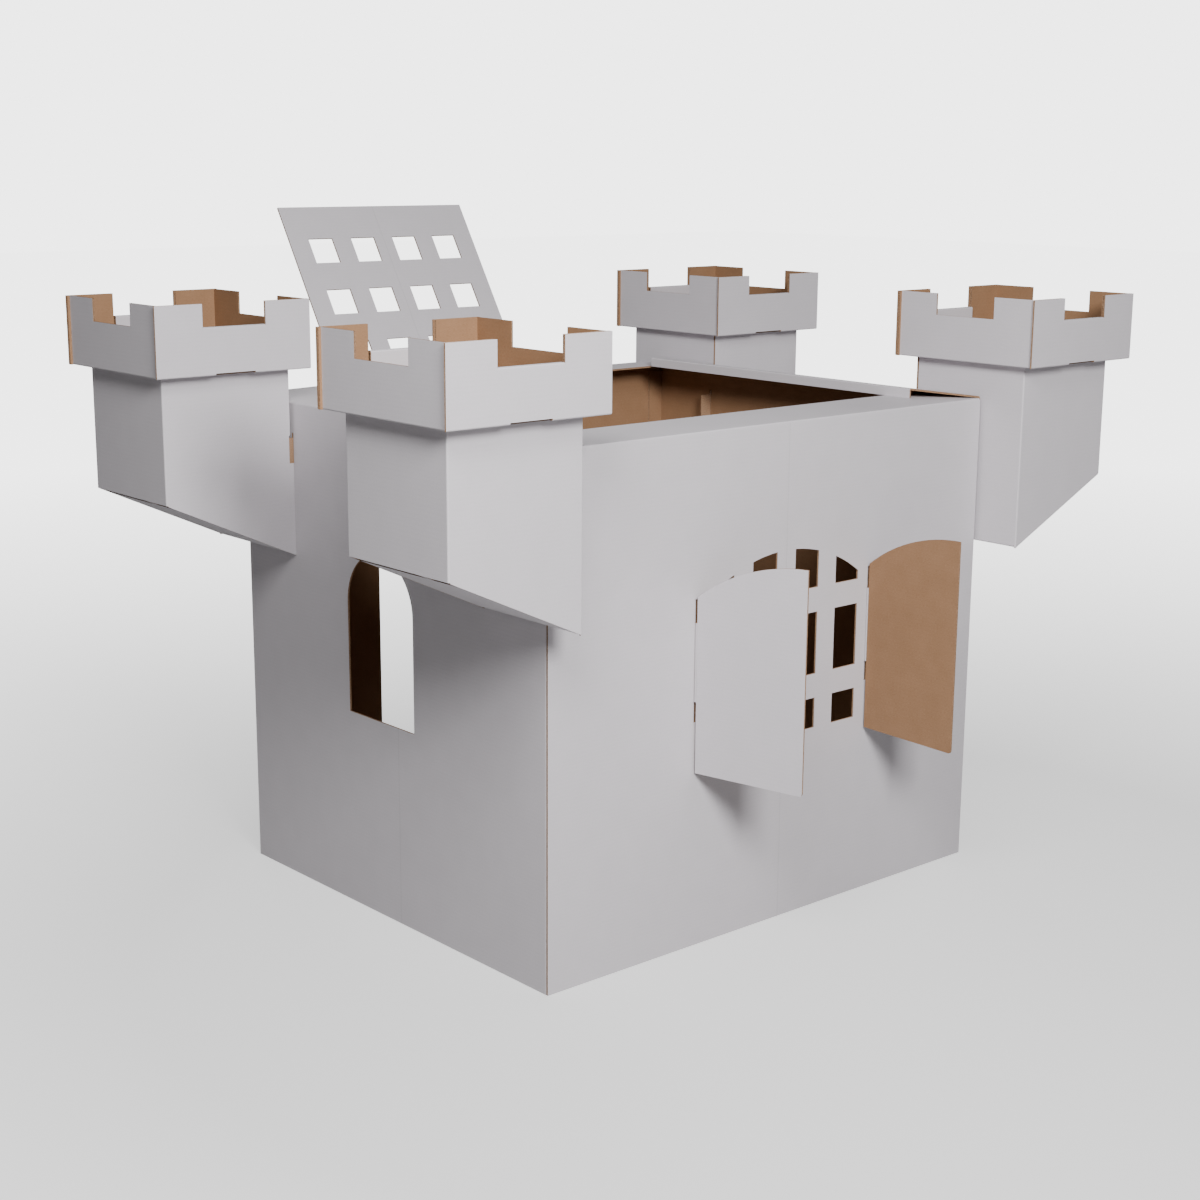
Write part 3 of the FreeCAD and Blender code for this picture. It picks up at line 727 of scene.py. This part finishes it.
# Walls
@dataclass
class Walls:
    """The two L-shaped wall sheets, each a long panel, a side panel and their flaps."""

    length: float = 940 * MM
    depth: float = 786 * MM
    height: float = 800 * MM
    shutter_flap: float = 128 * MM
    gate_flap: float = 72 * MM
    side_flap: float = 96 * MM
    side_tilt: float = 8.0
    mitre: float = 74 * MM
    glue_flap: float = 32 * MM
    glue_inset: float = 20 * MM
    seat_gap: float = 0.3 * MM
    flap_play: float = 1.0 * MM
    hook_low: float = 705 * MM
    hook_high: float = 754 * MM
    hook_half: float = 2.0 * MM
    hook_middles: tuple = (142 * MM, 641 * MM)
    window_centre: float = 9 * MM
    pane_width: float = 53 * MM
    pane_pitch: float = 93.5 * MM
    pane_rows: tuple = ((302 * MM, 351 * MM), (391 * MM, 492 * MM))
    pane_high: float = 532 * MM
    pane_radius: float = 286 * MM
    pane_bow: float = 314 * MM
    pane_steps: int = 9
    hinge_reach: float = 192 * MM
    hinge_slot: tuple = (360 * MM, 550 * MM)
    hinge_slot_half: float = 2.5 * MM
    gate_half: float = 209 * MM
    gate_rise: tuple = (43 * MM, 613 * MM)
    arch_middle: float = 376 * MM
    arch_half: float = 87 * MM
    arch_sill: float = 322 * MM
    arch_spring: float = 503 * MM
    arch_steps: int = 28
    side_score: float = 422.5 * MM

    def panes(self) -> list[list[tuple[float, float]]]:
        """Work out the lattice window's panes, whose top row ends on one arc, and the tabs' slots.

        Returns:
            The openings' outlines.
        """
        holes = []
        for column in range(4):
            middle = self.length / 2 + self.window_centre + (column - 1.5) * self.pane_pitch
            left, right = middle - self.pane_width / 2, middle + self.pane_width / 2
            holes += [rectangle(left, right, *row) for row in self.pane_rows]
            across = np.linspace(right, left, self.pane_steps)
            off_centre = across - self.length / 2 - self.window_centre
            crown = self.pane_bow + np.sqrt(self.pane_radius ** 2 - off_centre ** 2)
            holes.append([(left, self.pane_high), (right, self.pane_high), *zip(across, crown)])
        for side in (-1, 1):
            hinge = self.length / 2 + self.window_centre + side * self.hinge_reach
            holes.append(rectangle(hinge - self.hinge_slot_half, hinge + self.hinge_slot_half,
                                   *self.hinge_slot))
        return holes

    def gate_opening(self) -> list[list[tuple[float, float]]]:
        """Return the gate's opening."""
        middle = self.length / 2
        return [rectangle(middle - self.gate_half, middle + self.gate_half, *self.gate_rise)]

    def arched_window(self) -> list[list[tuple[float, float]]]:
        """Work out the arched window, measured along the side panel.

        Returns:
            The opening's outline, alone in a list.
        """
        middle = self.arch_middle + BOARD.thick / 2
        left, right = middle - self.arch_half, middle + self.arch_half
        crown = arc((middle, self.arch_spring), self.arch_half, 0, 180, self.arch_steps)
        return [[(left, self.arch_sill), (right, self.arch_sill), *crown]]

    def sheet(self, name: str, flap: float, long_holes: list, side_holes: list,
              long_score: float | None, side_score: float | None) -> Sheet:
        """Return one L-shaped sheet, drawn as the shutter wall's.

        Args:
            name: the piece's name.
            flap: the width of the long panel's top flap.
            long_holes: openings in the long panel.
            side_holes: openings in the side panel.
            long_score: where the long panel has a pressed score, along it.
            side_score: where the side panel has one.

        Returns:
            The sheet, in its own frame.
        """
        thick = BOARD.thick
        front = -thick / 2
        side = self.length / 2
        end = self.depth - thick / 2 - thick - self.seat_gap
        run = end - front
        shoulder = self.height + thick
        sheet = Sheet(name)
        tilt = math.radians(self.side_tilt)
        slope = np.array([-math.cos(tilt), 0, math.sin(tilt)])
        ridge = np.array([side - self.side_flap, front, shoulder - self.side_flap * slope[2] / slope[0]])
        slope_length = self.side_flap / -slope[0]
        corner_back = fold_setback(-Z, slope)
        ridge_back = fold_setback(-slope, -Z)
        sheet.panel(Panel(np.array([-side, front, 0]), X, Z,
                          rectangle(0, self.length - thick, 0, self.height - thick), (1, 2), long_holes,
                          score=long_score))
        hooks = [rectangle(m - front - self.hook_half, m - front + self.hook_half, self.hook_low,
                           self.hook_high) for m in self.hook_middles]
        sheet.panel(Panel(np.array([side, front, 0]), Y, Z,
                          rectangle(thick, run - thick, 0, shoulder - corner_back), (1, 2, 3),
                          hooks + side_holes, score=side_score))
        sheet.panel(Panel(np.array([side, end, 0]), -X, Z,
                          rectangle(thick, thick + self.glue_flap, self.glue_inset,
                                    self.height - self.glue_inset), (3,)))
        inset = thick + self.flap_play
        sheet.panel(Panel(np.array([-side, front, self.height]), X, Y,
                          rectangle(inset, self.length - inset, thick, flap), (0,)))
        sheet.panel(Panel(np.array([side, front, shoulder]), Y, slope, [
            (thick, corner_back), (run - thick, corner_back),
            (run - self.mitre, slope_length - ridge_back), (self.mitre, slope_length - ridge_back)],
            (0, 2)))
        lip = run - 2 * self.mitre
        sheet.panel(Panel(np.array([ridge[0], end - self.mitre, self.height]), -Y, Z,
                          rectangle(0, lip, 0, ridge[2] - self.height - ridge_back), (2,)))
        sheet.fold((side, front, 0), (0, 0, self.height), -X, Y)
        sheet.fold((side, end, 0), (0, 0, self.height), -Y, -X)
        sheet.fold((-side + inset, front, self.height), (self.length - 2 * inset, 0, 0), -Z, Y)
        sheet.fold((side, front + thick, shoulder), (0, run - 2 * thick, 0), -Z, slope)
        sheet.fold(ridge + Y * self.mitre, (0, lip, 0), -slope, -Z)
        return sheet

    def build(self, finishes: Sequence[bpy.types.Material]) -> None:
        """Make both wall sheets; the gate wall's is turned half round.

        Args:
            finishes: the white, kraft and cut materials.
        """
        shutter_wall = self.sheet("shutter_wall_sheet_card", self.shutter_flap, self.panes(), [],
                                  self.length / 2 + self.window_centre, None)
        shutter_wall.made("walls", placement(), finishes, "shutter_wall_sheet")
        gate_wall = self.sheet("gate_wall_sheet_card", self.gate_flap, self.gate_opening(),
                               self.arched_window(), None, self.side_score)
        gate_wall.made("walls", placement(turn(Z, 180), (0, self.depth - BOARD.thick, 0)), finishes,
                       "gate_wall_sheet")


# Gate
@dataclass
class Gate:
    """The gate leaf with its square lights, raised on the crease at its head."""

    half: float = 207 * MM
    reach: float = 568 * MM
    hinge_gap: float = 0.3 * MM
    light_width: float = 52 * MM
    light_height: float = 50 * MM
    light_pitch: float = 93 * MM
    light_rise: float = 105 * MM
    light_margin: float = 66 * MM
    hinge: tuple = (0, 784.5 * MM, 613 * MM)
    open_angle: float = 148.0

    def build(self, finishes: Sequence[bpy.types.Material]) -> None:
        """Make the leaf, drawn shut and turned up to where it rests.

        Args:
            finishes: the white, kraft and cut materials.
        """
        holes = []
        for row in range(5):
            base = -self.reach + self.light_margin + row * self.light_rise
            for column in range(4):
                middle = (column - 1.5) * self.light_pitch
                holes.append(rectangle(middle - self.light_width / 2, middle + self.light_width / 2,
                                       base, base + self.light_height))
        sheet = Sheet("gate_leaf_card")
        sheet.panel(Panel(np.zeros(3), -X, Z, rectangle(-self.half, self.half, -self.reach,
                                                        -self.hinge_gap), (2,), holes, score=0.0))
        sheet.made("gate", placement(turn(X, self.open_angle), self.hinge), finishes, "gate_leaf")


# Shutters
@dataclass
class Shutters:
    """The two shutters and the tabs that hold them in the wall's slots."""

    width: float = 190 * MM
    start: float = 1.8 * MM
    low: float = 281 * MM
    crown: float = 619 * MM
    radius: float = 306 * MM
    corner: float = 5 * MM
    head_steps: int = 20
    corner_steps: int = 5
    nose_steps: int = 12
    pivots: tuple = (-183 * MM, 201 * MM)
    pivot_y: float = -3.3 * MM
    opened: tuple = (78.0, 87.0)
    neck: tuple = (392 * MM, 514 * MM)
    flange: tuple = (360 * MM, 550 * MM)
    flange_width: float = 32 * MM

    def leaf(self, side: int) -> Panel:
        """Draw a shutter's panel, shut, from its hinge.

        Its head is an arc whose centre is in line with the free edge.

        Args:
            side: -1 for the left shutter, 1 for the right one.

        Returns:
            The panel, with the hinge line at its origin.
        """
        way = -side
        bow = self.crown - self.radius
        across = np.linspace(self.width, self.start, self.head_steps)
        top = bow + np.sqrt(self.radius ** 2 - (self.width - across) ** 2)
        corner_at = (self.width - self.corner, self.low + self.corner)
        rounded = arc(corner_at, self.corner, -90, 0, self.corner_steps)
        outline = [(self.start, self.low), *rounded, *zip(across, top)]
        outline = [(way * a, b) for a, b in outline]
        return Panel(np.array([0, -BOARD.thick / 2, 0]), X, Z, outline)

    def build(self, finishes: Sequence[bpy.types.Material]) -> None:
        """Make both shutters and both tabs.

        Args:
            finishes: the white, kraft and cut materials.
        """
        thick = BOARD.thick
        for side, hand, pivot, opened in zip((-1, 1), ("left", "right"), self.pivots, self.opened):
            name = f"{hand}_shutter"
            leaf = Sheet(f"{name}_card")
            leaf.panel(self.leaf(side))
            matrix = placement(turn(Z, side * opened), (pivot, self.pivot_y, 0))
            leaf.made(f"shutter_{hand}", matrix, finishes, name)
            tab = Sheet(f"{name}_tab_card")
            near, far = sorted((-side * thick / 2, side * self.flange_width))
            tab.panel(Panel(np.array([pivot, thick / 2, 0]), X, Z, rectangle(near, far, *self.flange)))
            nose = arc((0, self.pivot_y), thick / 2, 180, 360, self.nose_steps)
            flat = np.array([(-thick / 2, thick / 2), *nose, (thick / 2, thick / 2)])
            profile = np.column_stack([flat + (pivot, 0), np.full(len(flat), self.neck[0])])
            tab.prism(profile, Z * (self.neck[1] - self.neck[0]), [Face.WHITE] * len(profile))
            tab.made("walls", placement(), finishes, f"{name}_tab")


# Turrets
@dataclass
class Turrets:
    """The four hanging turrets, each a folded tube with a battlement tray on it."""

    near: float = 6 * MM
    wide: float = 226 * MM
    low: float = 556 * MM
    lip: float = 660 * MM
    top: float = 859 * MM
    seam_gap: float = 0.8 * MM
    seat_gap: float = 0.3 * MM
    chute_run: float = 210 * MM
    tongue_run: float = 224.5 * MM
    tongue_at: float = 54 * MM
    tongue_half: float = 6 * MM
    hook: tuple = (705 * MM, 746 * MM)
    hook_end: float = -27 * MM
    hook_half: float = 1.0 * MM
    notch: float = 2 * MM
    notch_play: float = 4 * MM
    tray_long: float = 273 * MM
    tray_wide: float = 287 * MM
    tray_high: float = 110 * MM
    tray_end: float = 4 * MM
    crenel_deep: float = 36 * MM
    crenel_single: float = 120 * MM
    crenel_hem: float = 111 * MM
    hem_room: float = 5 * MM
    lock_slot_half: float = 35 * MM
    lock_slot_width: float = 5 * MM
    wall_face: float = 470 * MM
    middles: tuple = (30.5 * MM, 752.5 * MM)

    def tube(self, name: str, seam: int) -> Sheet:
        """Draw a turret sheet, with x running out from the wall.

        Args:
            name: the piece's name.
            seam: 1 or -1, the side along y that the seam and the hook are on.

        Returns:
            The sheet, in its own frame.
        """
        thick, half, top = BOARD.thick, self.wide / 2, self.top
        near, far = self.near, self.near + self.wide
        slope = (self.lip - self.low) / self.wide
        chute = unit((1, 0, slope))
        sheet = Sheet(name)
        sheet.panel(Panel(np.array([far, -half, 0]), Y, Z,
                          rectangle(thick, self.wide - thick, self.lip, top), (1, 3)))

        def side_outline(start: float, end: float, rise_at_start: float, rise: float,
                         hook_a: float | None) -> tuple[list, tuple]:
            """Work out a side panel's outline with its sloped foot.

            Args:
                start: where the panel starts, along itself.
                end: where it ends.
                rise_at_start: its foot's height at zero.
                rise: how much the foot rises along it.
                hook_a: where the hook ends, or None on the side without one.

            Returns:
                The outline and its folded edges.
            """
            left = rise_at_start + rise * start
            right = rise_at_start + rise * end
            if hook_a is None:
                return [(start, left), (end, right), (end, top), (start, top)], (1, 3)
            reach = near - self.seat_gap
            low, high = self.hook[0], self.hook[1] + self.notch_play
            if hook_a > end:
                return [(start, left), (end + reach, right + rise * reach), (end + reach, low),
                        (end - self.notch, low), (end - self.notch, high), (end, high), (end, top),
                        (start, top)], (7,)
            return [(start - reach, left - rise * reach), (end, right), (end, top), (start, top),
                    (start, high), (start + self.notch, high), (start + self.notch, low),
                    (start - reach, low)], (1,)

        seam_left, seam_right = seam > 0, seam < 0
        outline, folds = side_outline(thick, self.wide if seam_left else self.wide - thick, self.lip, -slope,
                                      far - self.hook_end if seam_left else None)
        sheet.panel(Panel(np.array([far, half, 0]), -X, Z, outline, folds))
        outline, folds = side_outline(0 if seam_right else thick, self.wide - thick, self.low, slope,
                                      self.hook_end - near if seam_right else None)
        sheet.panel(Panel(np.array([near, -half, 0]), X, Z, outline, folds))
        foot = self.low + fold_setback(Z, chute)
        gap = thick + self.seam_gap
        inner = rectangle(gap if seam_left else thick, self.wide - (gap if seam_right else thick), foot, top)
        sheet.panel(Panel(np.array([near, half, 0]), -Y, Z, inner, (0, 1) if seam_left else (0, 3)))
        reach, tongue = self.chute_run / chute[0], self.tongue_run / chute[0]
        side = half - gap
        left, right = self.tongue_at - self.tongue_half, self.tongue_at + self.tongue_half
        sheet.panel(Panel(np.array([near, 0, self.low]), Y, chute, [
            (-side, fold_setback(Z, chute)), (side, fold_setback(Z, chute)), (side, reach), (right, reach),
            (right, tongue), (left, tongue), (left, reach), (-side, reach)], (0,)))
        hook_y = seam * (half - thick / 2)
        hook = [(self.hook_end, hook_y - self.hook_half), (near + self.notch, hook_y - self.hook_half),
                (near + self.notch, hook_y + self.hook_half), (self.hook_end, hook_y + self.hook_half)]
        sheet.prism(np.array([(x, y, self.hook[0]) for x, y in hook]), Z * (self.hook[1] - self.hook[0]),
                    [Face.CUT] * 4)
        sheet.fold((far, half, self.lip), (0, 0, top - self.lip), -Y, -X)
        sheet.fold((far, -half, self.lip), (0, 0, top - self.lip), Y, -X)
        sheet.fold((near, -seam * half, self.low), (0, 0, top - self.low), seam * Y, X)
        sheet.fold((near, -side, self.low), (0, 2 * side, 0), Z, chute)
        return sheet

    def tray(self, name: str) -> Sheet:
        """Draw a battlement tray; its second half is its first turned half round.

        Args:
            name: the piece's name.

        Returns:
            The sheet, in its own frame.
        """
        thick, high = BOARD.thick, self.tray_high
        middle = self.near + self.wide / 2
        half_x, half_y = self.tray_long / 2, self.tray_wide / 2
        wall_x = half_x - self.tray_end
        floor = high - self.crenel_deep
        end = half_y - thick - self.seam_gap
        sheet = Sheet(name)
        slot, notch = self.lock_slot_half, half_y - thick - self.lock_slot_width
        x0, x1, y1 = -wall_x + thick, wall_x - thick, half_y - thick
        base = [(-y1, x0), (-y1, -slot), (-notch, -slot), (-notch, slot), (-y1, slot), (-y1, x1),
                (y1, x1), (y1, slot), (notch, slot), (notch, -slot), (y1, -slot), (y1, x0)]
        sheet.panel(Panel(np.array([middle, 0, self.top]), Y, X, base, (0, 4, 5, 6, 10, 11)))
        inner = half_y - thick - self.hem_room - thick
        single, hem = self.crenel_single / 2, self.crenel_hem / 2
        flap_end = wall_x - hem - thick / 2
        for way in (1, -1):
            centre = np.array([middle, 0, self.top])
            ax, ay = way * X, way * Y
            wall = [(thick - end, thick), (end - thick, thick), (end - thick, high), (single, high),
                    (single, floor), (-single, floor), (-single, high), (thick - end, high)]
            sheet.panel(Panel(centre + ax * wall_x, ay, Z, wall, (0, 1)))
            sheet.fold(centre + ax * wall_x - ay * end, ay * 2 * end, -ax, Z)
            corner = centre + ax * wall_x + ay * end
            sheet.fold(corner + Z * thick, Z * (high - thick), -ay, -ax)
            sheet.panel(Panel(corner, -ax, Z, rectangle(thick, flap_end, thick, high), (3,)))
            strip = [(self.tray_end, 0), (0, 0), (0, thick), (-flap_end, thick), (-flap_end, high),
                     (self.tray_end, high)]
            sheet.panel(Panel(centre + ax * wall_x - ay * end, ax, Z, strip))
            outer = [(-half_x, thick), (-slot, thick), (slot, thick), (half_x, thick), (half_x, high),
                     (hem, high), (hem, floor - thick), (-hem, floor - thick), (-hem, high), (-half_x, high)]
            sheet.panel(Panel(centre + ay * half_y, -ax, Z, outer, (0, 2, 6)))
            for start in (-half_x, slot):
                sheet.fold(centre + ay * half_y + ax * start, ax * (half_x - slot), -ay, Z)
            crest = centre + ay * half_y + Z * floor
            sheet.fold(crest - ax * hem, ax * 2 * hem, -Z, -ay)
            sheet.panel(Panel(crest, ax, ay, rectangle(-hem, hem, inner + thick - half_y, -thick), (0, 2)))
            sheet.fold(centre + ay * inner + Z * floor - ax * hem, ax * 2 * hem, ay, -Z)
            sheet.panel(Panel(centre + ay * inner, ax, Z, rectangle(-hem, hem, thick, floor - thick), (2,)))
        return sheet

    def build(self, finishes: Sequence[bpy.types.Material]) -> None:
        """Make the four turrets and their trays.

        Args:
            finishes: the white, kraft and cut materials.
        """
        corners = (("front_left", -1, 0, -1), ("front_right", 1, 0, 1), ("back_left", -1, 1, 1),
                   ("back_right", 1, 1, -1))
        for name, way, row, seam in corners:
            turned = turn(Z, 180) if way < 0 else None
            matrix = placement(turned, (way * self.wall_face, self.middles[row], 0))
            self.tube(f"{name}_turret_card", seam).made("walls", matrix, finishes, f"{name}_turret")
            self.tray(f"{name}_battlement_card").made("walls", matrix, finishes, f"{name}_battlement")


# Studio
@dataclass(frozen=True)
class Lamp:
    """One square soft light: its name, place, aim, width in metres and power in watts."""

    name: str
    at: tuple
    aim: tuple
    size: float
    power: float


@dataclass
class Studio:
    """The floor, the lights and the camera."""

    eye: tuple = (-2.18176, -2.06414, 1.19928)
    look: tuple = (0.64281, 0.73333, -0.22139)
    head: tuple = (0.14127, 0.17057, 0.97517)
    lens: float = 59.386
    floor_size: float = 40.0
    floor_drop: float = 0.2 * MM
    ambient: float = 0.05
    backdrop: float = 4.0
    lamps: tuple = (
        Lamp("key", (-1.25, -2.5, 2.1), (0, 0.3, 0.5), 0.8, 122),
        Lamp("side", (-1.6, -1.0, 2.2), (0, 0.3, 0.5), 0.8, 36),
        Lamp("soft_back", (1.2, 3.4, 2.2), (0, 0.5, 0.5), 1.6, 32),
        Lamp("soft_right", (3.6, 0.8, 2.0), (0, 0.4, 0.5), 1.6, 32),
    )

    def camera(self) -> None:
        """Stand the camera where the photograph was taken from."""
        look, head = unit(self.look), np.asarray(self.head)
        right = unit(np.cross(look, head))
        head = np.cross(right, look)
        data = bpy.data.cameras.new("photo_camera")
        data.lens = self.lens
        data.sensor_width = 36
        data.clip_end = 100
        camera = bpy.data.objects.new("photo_camera", data)
        matrix = np.eye(4)
        matrix[:3, 0], matrix[:3, 1], matrix[:3, 2], matrix[:3, 3] = right, head, -look, self.eye
        camera.matrix_world = Matrix(matrix.tolist())
        bpy.context.scene.collection.objects.link(camera)
        bpy.context.scene.camera = camera

    def hang(self, lamp: Lamp) -> None:
        """Hang one square soft light that looks at its aim.

        Args:
            lamp: its name, place, aim, width and power.
        """
        data = bpy.data.lights.new(lamp.name, "AREA")
        data.size = lamp.size
        data.energy = lamp.power
        made = bpy.data.objects.new(lamp.name, data)
        made.location = lamp.at
        sight = Vector(lamp.aim) - Vector(lamp.at)
        made.rotation_euler = sight.to_track_quat("-Z", "Y").to_euler()
        bpy.context.scene.collection.objects.link(made)

    def surround(self) -> None:
        """Surround all with white that shows bright and lights the castle only a little."""
        world = bpy.data.worlds.new("studio")
        world.use_nodes = True
        nodes, links = world.node_tree.nodes, world.node_tree.links
        strength = nodes.new("ShaderNodeMapRange")
        strength.inputs["To Min"].default_value = self.ambient
        strength.inputs["To Max"].default_value = self.backdrop
        links.new(nodes.new("ShaderNodeLightPath").outputs["Is Camera Ray"], strength.inputs["Value"])
        nodes["Background"].inputs["Color"].default_value = (1, 1, 1, 1)
        links.new(strength.outputs["Result"], nodes["Background"].inputs["Strength"])
        bpy.context.scene.world = world

    def build(self) -> None:
        """Lay the floor, hang the lights and stand the camera."""
        half = self.floor_size / 2
        grid = np.array([(-half, -half, 0), (half, -half, 0), (half, half, 0), (-half, half, 0)])
        mesh = bpy.data.meshes.new("studio_floor")
        mesh.from_pydata((grid - Z * self.floor_drop).tolist(), [], [[0, 1, 2, 3]])
        mesh.materials.append(PaleFloor().material())
        floor = bpy.data.objects.new("studio_floor", mesh)
        bpy.context.scene.collection.objects.link(floor)
        self.surround()
        for lamp in self.lamps:
            self.hang(lamp)
        self.camera()


def main() -> None:
    """Build the castle and the studio."""
    logging.basicConfig(level=logging.INFO, format="%(message)s")
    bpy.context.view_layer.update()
    finishes = [WhiteLiner().material(), KraftLiner().material(), CutBoard().material()]
    for part in (Walls(), Gate(), Shutters(), Turrets()):
        part.build(finishes)
    Studio().build()


if __name__ == "__main__":
    main()
